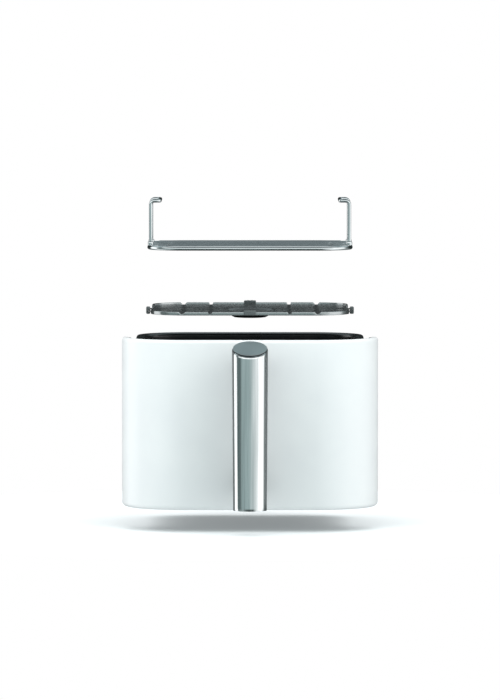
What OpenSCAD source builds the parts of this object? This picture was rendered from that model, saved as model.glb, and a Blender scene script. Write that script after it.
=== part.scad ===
// Air fryer drawer: curved front panel with a column handle, deep basket,
// crisper plate and upper rack. The plate and the rack are drawn lifted out.
// X runs left to right, -Y is the front, Z is up. The origin is under the
// middle of the whole drawer, on the surface that it stands on.

/* [Front panel] */
// Width of the front panel
front_w = 280; // [230:1:340]
// Height of the front panel
front_h = 185; // [150:1:230]
// Plan radius of the panel's two rounded corners
front_corner_r = 70; // [55:1:90]
// Straight run of the panel's sides behind its corners
front_side_run = 4; // [3:0.5:30]
// Height of the panel's lower edge above the surface
front_lift = 2; // [1:0.5:8]
// Wall of the white outer shell
shell_wall = 2.5; // [1.8:0.1:3.5]
// Width of the lips that the shell turns inward at its top and bottom
shell_lip = 6; // [4.5:0.5:9]
// Air gap between the shell and the inner cover
cover_gap = 5.5; // [4:0.5:12]
// Wall of the inner cover
cover_wall = 2; // [1.5:0.1:3]
// How far the top trim sits below the panel's top edge
trim_drop = 0.8; // [0.4:0.1:2]
// Thickness of the top trim
trim_t = 2.6; // [1.5:0.1:4]
// Length of the finger that presses the door switch
switch_tab_len = 14; // [8:1:25]

/* [Handle] */
// Width of the handle column
handle_w = 39; // [32:1:48]
// Depth of the handle column
handle_d = 40; // [32:1:50]
// Clear space for fingers between the column and the panel
finger_gap = 24; // [20:1:40]
// Wall of the polished cover on the front of the column
cover_sheet = 1.2; // [0.8:0.1:2]
// How far the polished cover wraps back from the column's front
cover_wrap = 11; // [7:0.5:15]
// Slope of the handle's top, down towards the front, in degrees
cap_slope = 19; // [5:1:30]
// Thickness of the cap, measured straight up
cap_t = 4; // [2:0.5:6]
// Height of the handle's lower end above the panel's lower edge
handle_foot_lift = 3; // [1:0.5:10]
// Thickness of the foot cap
foot_cap_t = 3; // [2:0.5:6]
// Width of the two posts that join the column to the panel
post_w = 20; // [14:1:24]
// Height of each post
post_h = 26; // [18:1:34]
// Diameter of the handle screws
handle_screw_d = 4; // [3:0.5:6]

/* [Basket] */
// Depth of the basket over its rim, front to back
basket_d = 246; // [200:1:300]
// Distance from the panel's face back to the basket's rim
basket_set_back = 12; // [11:0.5:20]
// Distance from the panel's side in to the basket's rim
basket_side_gap = 14; // [12:0.5:25]
// Distance of the rim below the panel's top edge
rim_drop = 5; // [2:0.5:20]
// Width of the flange around the basket's mouth
rim_flange = 8.3; // [7:0.1:14]
// Height of the turned-down edge of the flange
rim_skirt = 5; // [3:0.5:10]
// Thickness of the basket's pressed sheet
sheet = 1.2; // [0.8:0.1:2]
// Height of the four floor bosses that carry the crisper plate
boss_h = 14; // [10:0.5:25]
// Length of each of the four wall ledges that carry the rack
ledge_len = 26; // [15:1:40]
// Height of each ledge, from its shelf to the foot of its slope
ledge_h = 14; // [9:0.5:20]

/* [Basket bracket] */
// Thickness of the steel bracket between basket and panel
bracket_t = 1.5; // [1:0.1:2.5]
// Width of the bracket's raised middle
bracket_mid_w = 56; // [40:1:64]
// Width of the bracket over its two flanges
bracket_w = 110; // [96:1:130]
// Thickness of the heat shield in front of the bracket
shield_t = 0.8; // [0.5:0.1:1.2]
// Diameter of the rivets through the basket's wall
rivet_d = 4; // [3:0.5:6]
// Diameter of the screws that hold the shell to the inner cover
front_screw_d = 3; // [2.5:0.5:4]

/* [Crisper plate] */
// Space between the plate's edge and the basket's wall
plate_gap = 8; // [6:0.5:12]
// Thickness of the plate's sheet
plate_t = 1.5; // [1:0.1:2.5]
// Height of the lip around the plate
plate_lip = 4; // [3:0.5:8]
// Diameter of the air holes
air_hole_d = 6; // [4:0.5:8]
// Distance between neighbouring air holes
air_hole_pitch = 16; // [12:0.5:24]
// Width of the pressed dish in the middle, at the plate
dish_d = 58; // [45:1:75]
// Depth of the dish below the plate
dish_h = 7.4; // [4:0.2:12]
// Length of the ear that holds each side clip
ear_len = 56; // [40:1:60]
// Width of a clip along the plate's edge
clip_w = 13.4; // [10:0.2:20]
// Gap left between a clip and the basket's wall
clip_clear = 2; // [0.5:0.5:4]

/* [Rack] */
// Depth of the rack, front to back
rack_d = 170; // [140:1:200]
// Plan radius of the rack's corners
rack_corner_r = 38; // [20:1:50]
// Space between the rack and the basket's wall
rack_side_gap = 4; // [3:0.5:5.5]
// Diameter of the rack's frame wire
frame_wire = 4.5; // [3.5:0.1:6]
// Diameter of the wires of the grid
grid_wire = 2.5; // [2:0.1:3.4]
// Number of grid wires, running left to right
grid_count = 12; // [8:1:14]
// Distance between the two support wires under the grid
support_span = 110; // [60:1:140]
// Diameter of the lifting bails' wire
bail_wire = 4; // [3:0.1:5]
// Height of the bails above the underside of the frame
bail_h = 54.5; // [35:0.5:75]
// Distance between the two posts of a bail
bail_span = 60; // [50:1:90]
// How far a bail's top bar stands inside its posts
bail_inset = 10; // [8.5:0.5:20]
// Bend radius of the bails, at the middle of the wire
bail_bend_r = 4; // [3.2:0.1:4.2]
// Height of the collars welded around the feet of the bails
collar_h = 3.5; // [2:0.5:8]

/* [Lifted positions] */
// Height of the lifted crisper plate above the basket's rim
plate_above_rim = 30.3; // [15:0.1:120]
// Space from the plate's underside to the rack's underside
rack_step = 69.7; // [50:0.1:90]

/* [Hidden] */
$fn = 96;

// Named clearances and small fixed sizes
fit = 0.2;              // between pieces that slide or seat
plate_pass = 1.1;       // between the plate's edge and the ledges it passes
screw_head_t = 2;
rivet_head_t = 1.4;
clip_skin = 1.3;        // silicone outside an ear's strip
weld_t = 1.2;           // wall of the collars around the bails' feet
notch_w = 4;            // width of a notch in the plate's lip
ledge_in = 35;          // from the rack's ends in to the middle of a ledge
boss_in = 34;           // from the plate's edges in to the middle of a floor boss
low_post_up = 29;       // from the column's foot up to the lower post
high_post_down = 27;    // from the column's top down to the upper post
screw_bite = 8;         // how far a handle screw runs into the column
eps = 0.01;             // overlap that makes a cut pass right through

// Front panel, by its distance behind the outer face
cover_in = shell_wall + cover_gap;
cover_back = cover_in + cover_wall;
front_top = front_lift + front_h;
front_wrap = front_corner_r + front_side_run;
trim_top = front_top - trim_drop;
cover_top = trim_top - trim_t;

// Overall depth and where the panel's face lies
handle_reach = finger_gap + handle_d;
total_d = handle_reach + basket_set_back + basket_d;
face_y = handle_reach - total_d / 2;
back_y = total_d / 2;

// Basket
basket_w = front_w - 2 * basket_side_gap;
basket_y = face_y + basket_set_back + basket_d / 2;
rim_top = front_top - rim_drop;
rim_r = front_corner_r - basket_set_back;
wall_in = rim_flange + sheet;
cavity_w = basket_w - 2 * wall_in;
cavity_d = basket_d - 2 * wall_in;
cavity_r = rim_r - wall_in;
wall_y = face_y + basket_set_back + rim_flange;

// Crisper plate and rack, lifted
plate_up_z = rim_top + plate_above_rim;
plate_seat_z = sheet + boss_h + fit;
plate_w = cavity_w - 2 * plate_gap;
plate_d = cavity_d - 2 * plate_gap;
plate_r = cavity_r - plate_gap;
ear_out = plate_gap - clip_clear - clip_skin;
ear_strip = 2.2;
slot_w = 4.5;
rack_w = cavity_w - 2 * rack_side_gap;
rack_up_z = plate_up_z + rack_step;
frame_z = rack_up_z + frame_wire / 2;
ledge_top = plate_seat_z + rack_step - fit;
ledge_depth = plate_gap - plate_pass;
ledge_y = rack_d / 2 - ledge_in;
boss_x = plate_w / 2 - boss_in;
boss_y = plate_d / 2 - boss_in;
boss_r = 12;
grid_z = frame_z + frame_wire / 2 - grid_wire / 2 + 0.5;
support_z = grid_z - grid_wire;
bail_x = rack_w / 2 - frame_wire / 2 - grid_wire / 2;
collar_d = bail_wire + 2 * weld_t;
collar_top = frame_z + frame_wire / 2 + collar_h;

// Handle
handle_bottom = front_lift + handle_foot_lift;
handle_top = front_top + 1;
handle_back = face_y - finger_gap;
handle_y = handle_back - handle_d / 2;
handle_r = min(handle_w, handle_d) / 2 - 0.5;
cover_end = handle_back - handle_d + cover_wrap;
post_root = 6;          // how far a post runs into the column
post_zs = [handle_bottom + low_post_up, handle_top - high_post_down];

// Bracket, by its distance behind the panel's face
bracket_zs = [post_zs[0] - 12, post_zs[1] + 9];
bracket_front = cover_back + shield_t;
wall_from_face = basket_set_back + rim_flange;
rivet_x = (bracket_w + bracket_mid_w) / 4;
rivet_zs = [post_zs[0] + 16, post_zs[1] - 16];
front_screw_x = min(front_w / 2 - front_corner_r - 5, bracket_w / 2 + 7);
front_screw_zs = [front_lift + 28, front_top - 28];
boss_d = front_screw_d + 5;

// ---- shared shapes ----

// A rectangle with round corners, centred on the origin.
module round_rect(w, d, r) {
    square([w - 2 * r, d], center = true);
    square([w, d - 2 * r], center = true);
    for (sx = [-1, 1], sy = [-1, 1])
        translate([sx * (w / 2 - r), sy * (d / 2 - r)]) circle(r);
}

// The plan of the front panel, inset from its outer face, back to depth end.
module front_plan(inset, end) {
    flat = front_w - 2 * front_corner_r;
    intersection() {
        union() {
            translate([-flat / 2, face_y + inset]) square([flat, end - inset]);
            translate([-front_w / 2 + inset, face_y + front_corner_r])
                square([front_w - 2 * inset, end - front_corner_r]);
            for (s = [-1, 1])
                translate([s * flat / 2, face_y + front_corner_r]) circle(front_corner_r - inset);
        }
        translate([-front_w, face_y - 1]) square([2 * front_w, end + 1]);
    }
}

// A band of the panel's plan between two insets.
module front_band(from, to, end) {
    difference() {
        front_plan(from, end);
        front_plan(to, end + 20);
    }
}

// The plan of the basket, inset from the rim's outer edge.
module basket_plan(inset) {
    translate([0, basket_y])
        round_rect(basket_w - 2 * inset, basket_d - 2 * inset, rim_r - inset);
}

module plate_plan(inset) {
    translate([0, basket_y])
        round_rect(plate_w - 2 * inset, plate_d - 2 * inset, plate_r - inset);
}

// A slab between two heights.
module slab(z0, z1) {
    translate([0, 0, z0]) linear_extrude(z1 - z0) children();
}

// A closed loop of wire round a rectangle with round corners.
module wire_loop(w, d, r, wire) {
    for (sy = [-1, 1])
        translate([-(w / 2 - r), sy * d / 2, 0]) rotate([0, 90, 0])
            cylinder(h = w - 2 * r, d = wire);
    for (sx = [-1, 1])
        translate([sx * w / 2, -(d / 2 - r), 0]) rotate([-90, 0, 0])
            cylinder(h = d - 2 * r, d = wire);
    for (i = [0 : 3])
        translate([(i == 0 || i == 3 ? 1 : -1) * (w / 2 - r), (i < 2 ? 1 : -1) * (d / 2 - r), 0])
            rotate([0, 0, 90 * i]) rotate_extrude(angle = 90) translate([r, 0]) circle(d = wire);
}

// A cylinder along Y from y0 to y1.
module rod_y(x, y0, y1, z, d) {
    translate([x, y0, z]) rotate([-90, 0, 0]) cylinder(h = y1 - y0, d = d);
}

// ---- front panel ----

module front_shell() {
    color("white") difference() {
        union() {
            slab(front_lift, front_top) front_band(0, shell_wall, front_wrap);
            slab(front_lift, front_lift + shell_wall) front_band(0, shell_lip, front_wrap);
            slab(front_top - shell_wall, front_top) front_band(0, shell_lip, front_wrap);
            for (sx = [-1, 1], z = front_screw_zs)
                rod_y(sx * front_screw_x, face_y + shell_wall / 2, face_y + cover_in, z, boss_d);
        }
        for (sx = [-1, 1], z = front_screw_zs)
            rod_y(sx * front_screw_x, face_y + shell_wall, face_y + cover_in + 1, z, front_screw_d);
        for (z = post_zs)
            rod_y(0, face_y - 1, face_y + cover_in, z, handle_screw_d + fit);
    }
}

module front_inner_cover() {
    end_lip = 2;
    color("dimgray") difference() {
        union() {
            slab(front_lift, cover_top) front_band(cover_in, cover_back, front_wrap);
            slab(front_lift, front_lift + shell_wall)
                front_band(shell_lip + fit, cover_back, front_wrap);
            for (sx = [-1, 1])
                translate([sx * (front_w / 2 - (shell_wall + fit + cover_in) / 2),
                           face_y + front_wrap - end_lip / 2,
                           (front_lift + shell_wall + fit + cover_top) / 2])
                    cube([cover_in - shell_wall - fit + eps, end_lip,
                          cover_top - front_lift - shell_wall - fit], center = true);
        }
        for (sx = [-1, 1], z = front_screw_zs)
            rod_y(sx * front_screw_x, face_y + cover_in - 1, face_y + cover_back + 1, z,
                  front_screw_d + fit);
        for (z = post_zs)
            rod_y(0, face_y + cover_in - 1, face_y + cover_back + 1, z, handle_screw_d + fit);
    }
}

module front_top_trim() {
    color("darkgray")
        slab(cover_top, trim_top) front_band(shell_lip + fit, cover_back, front_wrap);
}

module front_screws() {
    color("silver") for (sx = [-1, 1], z = front_screw_zs) {
        rod_y(sx * front_screw_x, face_y + shell_wall, face_y + cover_back, z, front_screw_d);
        rod_y(sx * front_screw_x, face_y + cover_back, face_y + cover_back + screw_head_t - fit, z,
              front_screw_d * 2);
    }
}

module switch_tab() {
    tab_h = 10;
    tab_t = cover_in - shell_wall - 2 * fit;
    color("black")
        translate([front_w / 2 - (shell_wall + cover_in) / 2, face_y + front_wrap,
                   front_top - 0.25 * front_h])
            rotate([0, 90, 0]) linear_extrude(tab_t, center = true) union() {
                translate([-tab_h / 2, 0]) square([tab_h, switch_tab_len - tab_h / 2]);
                translate([0, switch_tab_len - tab_h / 2]) circle(d = tab_h);
            }
}

// ---- join between basket and panel ----

module heat_shield() {
    color("silver") difference() {
        translate([-bracket_w / 2 + 5, face_y + cover_back, bracket_zs[0]])
            cube([bracket_w - 10, shield_t, bracket_zs[1] - bracket_zs[0]]);
        for (z = post_zs)
            rod_y(0, face_y + cover_back - 1, face_y + bracket_front + 1, z, handle_screw_d + fit);
    }
}

module basket_bracket() {
    mid = bracket_mid_w / 2;
    color("lightgray") difference() {
        slab(bracket_zs[0], bracket_zs[1]) translate([0, face_y]) {
            translate([-mid, bracket_front]) square([2 * mid, bracket_t]);
            for (s = [0, 1]) mirror([s, 0]) {
                translate([mid - bracket_t, bracket_front])
                    square([bracket_t, wall_from_face - bracket_front]);
                translate([mid - bracket_t, wall_from_face - bracket_t])
                    square([(bracket_w - bracket_mid_w) / 2 + bracket_t, bracket_t]);
            }
        }
        for (z = post_zs)
            rod_y(0, face_y + bracket_front - 1, face_y + bracket_front + bracket_t + 1, z,
                  handle_screw_d + fit);
        for (sx = [-1, 1], z = rivet_zs)
            rod_y(sx * rivet_x, wall_y - bracket_t - 1, wall_y + 1, z, rivet_d);
    }
}

module bracket_rivets() {
    color("silver") for (sx = [-1, 1], z = rivet_zs) {
        rod_y(sx * rivet_x, wall_y - bracket_t, wall_y + sheet, z, rivet_d);
        rod_y(sx * rivet_x, wall_y - bracket_t - rivet_head_t, wall_y - bracket_t, z, rivet_d * 2);
        rod_y(sx * rivet_x, wall_y + sheet, wall_y + sheet + rivet_head_t, z, rivet_d * 2);
    }
}

// ---- handle ----

// The column's plan, inset from its outer face.
module handle_plan(inset) {
    translate([0, handle_y])
        round_rect(handle_w - 2 * inset, handle_d - 2 * inset, handle_r - inset);
}

// Everything above the sloping top of the column, lowered by drop.
module above_slope(drop) {
    translate([0, handle_back, handle_top - drop]) rotate([cap_slope, 0, 0])
        translate([-handle_w, -2 * handle_d, 0]) cube([2 * handle_w, 3 * handle_d, 4 * handle_d]);
}

// The part of the column's plan that the polished cover wraps.
module cover_side() {
    intersection() {
        children();
        translate([-handle_w, cover_end - handle_d]) square([2 * handle_w, handle_d]);
    }
}

module handle_cover() {
    color("silver") difference() {
        slab(handle_bottom + foot_cap_t, handle_top) difference() {
            cover_side() handle_plan(0);
            handle_plan(cover_sheet);
        }
        above_slope(cap_t);
    }
}

module handle_core() {
    color("black") difference() {
        union() {
            difference() {
                slab(handle_bottom + foot_cap_t, handle_top) difference() {
                    handle_plan(0);
                    difference() {
                        cover_side() handle_plan(0);
                        handle_plan(cover_sheet);
                    }
                }
                above_slope(cap_t);
            }
            for (z = post_zs)
                translate([-post_w / 2, handle_back - post_root, z - post_h / 2])
                    cube([post_w, finger_gap + post_root, post_h]);
        }
        for (z = post_zs) rod_y(0, handle_back - screw_bite, face_y + 1, z, handle_screw_d);
    }
}

module handle_cap() {
    color("gray") difference() {
        slab(handle_bottom, handle_top + 1) handle_plan(0);
        above_slope(0);
        translate([0, 0, -cap_t]) difference() {
            translate([-handle_w, handle_back - 2 * handle_d, 0])
                cube([2 * handle_w, 4 * handle_d, handle_top + handle_d]);
            above_slope(0);
        }
    }
}

module handle_foot_cap() {
    color("dimgray") slab(handle_bottom, handle_bottom + foot_cap_t) handle_plan(0);
}

module handle_screws() {
    head_y = face_y + bracket_front + bracket_t;
    color("silver") for (z = post_zs) {
        rod_y(0, handle_back - screw_bite, head_y, z, handle_screw_d);
        rod_y(0, head_y, head_y + screw_head_t, z, handle_screw_d * 2);
    }
}

// ---- basket ----

// The pressed ledge's outline in X and Z, grown outward from the cavity's wall.
module ledge_outline(shrink) {
    polygon([
        [sheet + eps, -shrink],
        [-ledge_depth + shrink, -shrink],
        [-ledge_depth + shrink, -3],
        [sheet + eps, -ledge_h + shrink * 2],
    ]);
}

// One ledge, or its hollow, on the basket's right-hand wall.
module ledge(shrink) {
    len = ledge_len - 2 * shrink;
    translate([cavity_w / 2, len / 2, ledge_top]) rotate([90, 0, 0])
        linear_extrude(len) ledge_outline(shrink);
}

module each_ledge() {
    for (s = [0, 1], sy = [-1, 1])
        mirror([s, 0, 0]) translate([0, basket_y + sy * ledge_y, 0]) children();
}

module each_boss() {
    for (sx = [-1, 1], sy = [-1, 1])
        translate([sx * boss_x, basket_y + sy * boss_y, 0]) children();
}

module basket_pan() {
    color([0.12, 0.12, 0.13]) difference() {
        union() {
            difference() {
                union() {
                    slab(0, rim_top) basket_plan(rim_flange);
                    slab(rim_top - rim_skirt, rim_top) difference() {
                        basket_plan(0);
                        basket_plan(sheet);
                    }
                    slab(rim_top - sheet, rim_top) basket_plan(0);
                }
                slab(sheet, rim_top + 1) basket_plan(wall_in);
            }
            each_ledge() ledge(0);
            each_boss() cylinder(h = sheet + boss_h, r1 = boss_r, r2 = boss_r - 3);
        }
        each_ledge() translate([2 * eps, 0, 0]) ledge(sheet);
        each_boss() translate([0, 0, -eps])
            cylinder(h = boss_h, r1 = boss_r - sheet, r2 = boss_r - 3 - sheet);
        for (sx = [-1, 1], z = rivet_zs)
            rod_y(sx * rivet_x, wall_y - 1, wall_y + sheet + 1, z, rivet_d);
    }
}

// ---- crisper plate ----

module at_plate() {
    translate([0, 0, plate_up_z]) children();
}

// One ear with its slot, on the plate's right-hand side.
module ear_plan() {
    translate([plate_w / 2 - 12, -ear_len / 2]) square([12 + ear_out, ear_len]);
}

module ear_slot() {
    translate([plate_w / 2 + ear_out - ear_strip - slot_w / 2, 0])
        round_rect(slot_w, ear_len - 6, slot_w / 2 - 0.05);
}

module air_holes() {
    nx = floor((plate_w / 2 - 16) / air_hole_pitch);
    ny = floor((plate_d / 2 - 12) / air_hole_pitch);
    reach = norm([plate_w, plate_d]) / 2 - plate_r * 0.42 - 12;
    for (i = [-nx : nx], j = [-ny : ny]) {
        p = [i, j] * air_hole_pitch;
        if (norm(p) > dish_d / 2 + air_hole_d && norm(p) < reach)
            translate([p[0], basket_y + p[1]]) circle(d = air_hole_d);
    }
}

// Notches in the lip, in pairs along the front and rear edges.
module lip_notches() {
    for (sy = [-1, 1], x = [-0.34, -0.2, 0.2, 0.34] * plate_w)
        translate([x - notch_w / 2, basket_y + sy * (plate_d / 2 - plate_t / 2) - plate_t, plate_t])
            cube([notch_w, 2 * plate_t, plate_lip]);
}

module crisper_plate() {
    dish_r = dish_d / 2;
    floor_r = dish_r - 13;
    color([0.2, 0.2, 0.21]) at_plate() difference() {
        union() {
            linear_extrude(plate_t) difference() {
                union() {
                    plate_plan(0);
                    for (s = [0, 1]) mirror([s, 0]) translate([0, basket_y]) ear_plan();
                }
                for (s = [0, 1]) mirror([s, 0]) translate([0, basket_y]) ear_slot();
                translate([0, basket_y]) circle(dish_r - 1);
                air_holes();
            }
            difference() {
                linear_extrude(plate_lip) difference() {
                    plate_plan(0);
                    plate_plan(plate_t);
                }
                translate([0, basket_y, plate_t + plate_lip / 2])
                    cube([plate_w + 4, ear_len, plate_lip], center = true);
                lip_notches();
            }
            translate([0, basket_y, -dish_h]) difference() {
                cylinder(h = dish_h + plate_t, r1 = floor_r, r2 = dish_r);
                translate([0, 0, plate_t])
                    cylinder(h = dish_h + eps, r1 = floor_r - 1, r2 = dish_r - 1.5);
            }
        }
        for (a = [0 : 60 : 300])
            translate([0, basket_y, -dish_h - 1]) rotate([0, 0, a])
                translate([floor_r * 0.6, 0, 0]) cylinder(h = plate_t + 2, d = air_hole_d - 1);
    }
}

// A sleeve threaded on an ear's outer strip, on the right-hand side.
module side_clip() {
    sleeve_in = 1.1;
    x0 = plate_w / 2 + ear_out - ear_strip;
    color("gray") at_plate() translate([0, basket_y, 0]) difference() {
        translate([x0 - sleeve_in, -clip_w / 2, -3.5])
            cube([ear_strip + sleeve_in + clip_skin, clip_w, 8]);
        translate([x0, -clip_w, 0]) cube([ear_strip, 2 * clip_w, plate_t]);
    }
}

// A saddle pushed over the lip at the front edge.
module lip_clip() {
    edge = basket_y - plate_d / 2;
    color("gray") at_plate() difference() {
        translate([-clip_w / 2, edge - plate_gap + clip_clear, 0])
            cube([clip_w, plate_gap - clip_clear + 2 * plate_t, plate_lip + 2]);
        translate([-clip_w, edge, -1]) cube([2 * clip_w, plate_t, plate_lip + 1]);
        translate([-clip_w, edge, -1]) cube([2 * clip_w, 4 * plate_t, plate_t + 1]);
    }
}

module plate_clip_left() mirror([1, 0, 0]) side_clip();
module plate_clip_right() side_clip();
module plate_clip_front() lip_clip();
module plate_clip_rear() translate([0, 2 * basket_y, 0]) mirror([0, 1, 0]) lip_clip();

// ---- upper rack ----

module frame_loop() {
    translate([0, basket_y, frame_z])
        wire_loop(rack_w - frame_wire, rack_d - frame_wire, rack_corner_r, frame_wire);
}

module each_bail_foot() {
    for (sx = [-1, 1], sy = [-1, 1])
        translate([sx * bail_x, basket_y + sy * bail_span / 2, frame_z]) children();
}

module rack_frame() {
    color("silver") frame_loop();
}

// Half the inside width of the frame's centre line at a distance from the rack's middle.
function frame_half(y) =
    let (r = rack_corner_r, over = abs(y) - ((rack_d - frame_wire) / 2 - r))
    (rack_w - frame_wire) / 2 - (over > 0 ? r - sqrt(r * r - over * over) : 0);

module rack_grid_wires() {
    inner = rack_d - 2 * frame_wire;
    pitch = inner / (grid_count + 1);
    color("silver") difference() {
        for (i = [1 : grid_count]) {
            y = -inner / 2 + i * pitch;
            half = frame_half(y);
            translate([-half, basket_y + y, grid_z]) rotate([0, 90, 0])
                cylinder(h = 2 * half, d = grid_wire);
        }
        frame_loop();
        each_bail_foot() cylinder(h = collar_top - frame_z, d = collar_d);
    }
}

module rack_support_wires() {
    half = (rack_d - frame_wire) / 2;
    color("silver") difference() {
        for (sx = [-1, 1])
            rod_y(sx * support_span / 2, basket_y - half, basket_y + half, support_z, grid_wire);
        frame_loop();
    }
}

// One bail, on the right-hand side: two posts, each bent inward and then along
// to the top bar that joins them.
module bail() {
    top_z = rack_up_z + bail_h - bail_wire / 2;
    r = bail_bend_r;
    color("silver") difference() {
        for (s = [0, 1]) translate([0, basket_y, 0]) mirror([0, s, 0]) {
            y = -bail_span / 2;
            translate([bail_x, y, frame_z]) cylinder(h = top_z - r - frame_z, d = bail_wire);
            translate([bail_x - r, y, top_z - r]) rotate([90, 0, 0])
                rotate_extrude(angle = 90) translate([r, 0]) circle(d = bail_wire);
            translate([bail_x - bail_inset + r, y, top_z]) rotate([0, 90, 0])
                cylinder(h = bail_inset - 2 * r, d = bail_wire);
            translate([bail_x - bail_inset + r, y + r, top_z]) rotate([0, 0, 180])
                rotate_extrude(angle = 90) translate([r, 0]) circle(d = bail_wire);
            translate([bail_x - bail_inset, y + r, top_z]) rotate([-90, 0, 0])
                cylinder(h = bail_span / 2 - r, d = bail_wire);
        }
        frame_loop();
    }
}

module rack_bail_left() mirror([1, 0, 0]) bail();
module rack_bail_right() bail();

module bail_collars() {
    color("silver") difference() {
        each_bail_foot() cylinder(h = collar_top - frame_z, d = collar_d);
        each_bail_foot() translate([0, 0, -1])
            cylinder(h = collar_top - frame_z + 2, d = bail_wire);
        frame_loop();
    }
}

// ---- assembly ----

front_shell();
front_inner_cover();
front_top_trim();
front_screws();
switch_tab();
heat_shield();
basket_bracket();
bracket_rivets();
handle_cover();
handle_core();
handle_cap();
handle_foot_cap();
handle_screws();
basket_pan();
crisper_plate();
plate_clip_left();
plate_clip_right();
plate_clip_front();
plate_clip_rear();
rack_frame();
rack_grid_wires();
rack_support_wires();
rack_bail_left();
rack_bail_right();
bail_collars();
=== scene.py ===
"""Air fryer drawer with its crisper plate and rack lifted out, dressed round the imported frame.

Most CAD pieces get a finely rounded stand-in; the rest keep their CAD shape and get a finish.
"""
import math

import bmesh
import bpy
from mathutils import Matrix, Vector


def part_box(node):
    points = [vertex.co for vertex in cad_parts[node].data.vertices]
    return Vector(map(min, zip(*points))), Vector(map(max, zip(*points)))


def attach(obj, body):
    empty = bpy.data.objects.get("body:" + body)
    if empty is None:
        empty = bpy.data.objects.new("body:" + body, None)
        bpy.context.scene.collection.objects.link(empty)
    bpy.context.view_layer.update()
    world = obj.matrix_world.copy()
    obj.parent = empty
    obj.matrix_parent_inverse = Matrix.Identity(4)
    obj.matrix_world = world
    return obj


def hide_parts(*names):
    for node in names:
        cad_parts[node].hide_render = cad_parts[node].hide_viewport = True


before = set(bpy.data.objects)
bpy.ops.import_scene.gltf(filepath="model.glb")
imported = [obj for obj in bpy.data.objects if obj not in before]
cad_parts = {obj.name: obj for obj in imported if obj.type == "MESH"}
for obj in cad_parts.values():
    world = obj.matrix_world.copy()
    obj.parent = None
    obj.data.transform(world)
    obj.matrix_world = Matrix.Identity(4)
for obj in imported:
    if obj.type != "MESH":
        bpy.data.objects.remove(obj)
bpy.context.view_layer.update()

MM = 0.001

# ---- places and sizes, read from the frame ----

shell_low, shell_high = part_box("front_shell")
trim_low, trim_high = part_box("front_top_trim")
cover_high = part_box("front_inner_cover")[1]
pan_low, pan_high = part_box("basket_pan")
metal_low, metal_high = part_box("handle_cover")
cap_low, cap_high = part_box("handle_cap")
foot_low, foot_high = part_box("handle_foot_cap")
plate_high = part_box("crisper_plate")[1]
rack_low, rack_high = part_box("rack_frame")
bail_low, bail_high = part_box("rack_bail_right")
grid_low, grid_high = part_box("rack_grid_wires")
support_low, support_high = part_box("rack_support_wires")
collar_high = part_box("bail_collars")[1]
side_clip_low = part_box("plate_clip_right")[0]

FACE_Y = shell_low.y
FRONT_HALF = shell_high.x
FRONT_R = 70 * MM
FRONT_WRAP = cover_high.y - FACE_Y
BASKET_Y = (pan_low.y + pan_high.y) / 2
SHEET = 1.2 * MM
LIP_Z = plate_high.z

# ---- the stage ----

CAMERA_DISTANCE = 8.0
CAMERA_Z, AIM_Z = 0.634, 0.1765
SENSOR_WIDTH, LENS = 36, 380
VIEW_END = 100

FLOOR_DROP = 22 * MM
FLOOR_RADIUS, FLOOR_MIDDLE = 0.48, 0.02
FLOOR_SIDES, FLOOR_RINGS = 96, 12
FLOOR_BASE = (0.86, 0.86, 0.86)
FLOOR_TONE = (0.80, 0.82, 0.83)
FLOOR_GLOW = (0.225, 0.245, 0.25)

TOP_LIGHT_WATTS = 0.08
TOP_LIGHT_SIZE = (0.26, 0.06)
TOP_LIGHT_OUT, TOP_LIGHT_UP, TOP_LIGHT_AIM = 0.13, 0.13, 0.03

# Studio light by direction. A stop is degrees round the horizon, 0 in front of the drawer and
# 90 to its right, with red and green-blue.
PEAK = 2.5
LIGHT_STOPS = (
    (-180, 0.5, 0.5), (-120, 0.6, 0.6), (-100, 1.9, 1.93), (-70, 2.3, 2.34),
    (-45, 0.95, 1.05), (-20, 0.22, 0.34), (20, 0.24, 0.36), (42, 1.45, 1.53),
    (62, 2.3, 2.33), (80, 1.45, 1.48), (110, 0.6, 0.6), (180, 0.5, 0.5))
LIGHT_ABOVE = (1.5, 1.54, 1.54)
LIGHT_BELOW = (0.86, 0.93, 0.94)
MIRROR_STOPS = (
    (-180, 0.02, 0.025), (-133, 0.03, 0.04), (-127, 1.5, 1.52), (-100, 1.5, 1.52),
    (-93, 0.1, 0.15), (-68, 0.15, 0.2), (-60, 0.33, 0.43), (-8, 0.38, 0.49),
    (4, 0.52, 0.62), (50, 0.92, 0.97), (60, 1.5, 1.52), (100, 1.4, 1.42),
    (112, 0.3, 0.34), (130, 0.03, 0.04), (180, 0.02, 0.025))
MIRROR_ABOVE = (0.13, 0.15, 0.16)
MIRROR_BELOW_STOPS = (
    (-180, 0.12, 0.15), (-133, 0.2, 0.24), (-122, 1.2, 1.24), (-100, 1.2, 1.24),
    (-90, 0.2, 0.25), (-50, 0.4, 0.46), (-28, 0.08, 0.1), (22, 0.08, 0.1),
    (42, 0.75, 0.8), (60, 1.25, 1.28), (100, 1.1, 1.14), (115, 0.3, 0.34),
    (180, 0.12, 0.15))
FRONT_SOFTBOX = (1.4, 1.45, 1.45)
REAR_SOFTBOX = (0.46, 0.56, 0.58)


# ---- mesh helpers ----

def add_mesh(name, verts, faces, sharp=35):
    """A new smooth-shaded object whose edges above the sharp angle stay crisp."""
    mesh = bpy.data.meshes.new(name)
    mesh.from_pydata([tuple(v) for v in verts], [], faces)
    return add_object(name, mesh, sharp)


def add_object(name, mesh, sharp=35):
    mesh.validate()
    work = bmesh.new()
    work.from_mesh(mesh)
    bmesh.ops.recalc_face_normals(work, faces=work.faces)
    work.to_mesh(mesh)
    work.free()
    mesh.shade_smooth()
    mesh.set_sharp_from_angle(angle=math.radians(sharp))
    obj = bpy.data.objects.new(name, mesh)
    bpy.context.scene.collection.objects.link(obj)
    return obj


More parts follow.
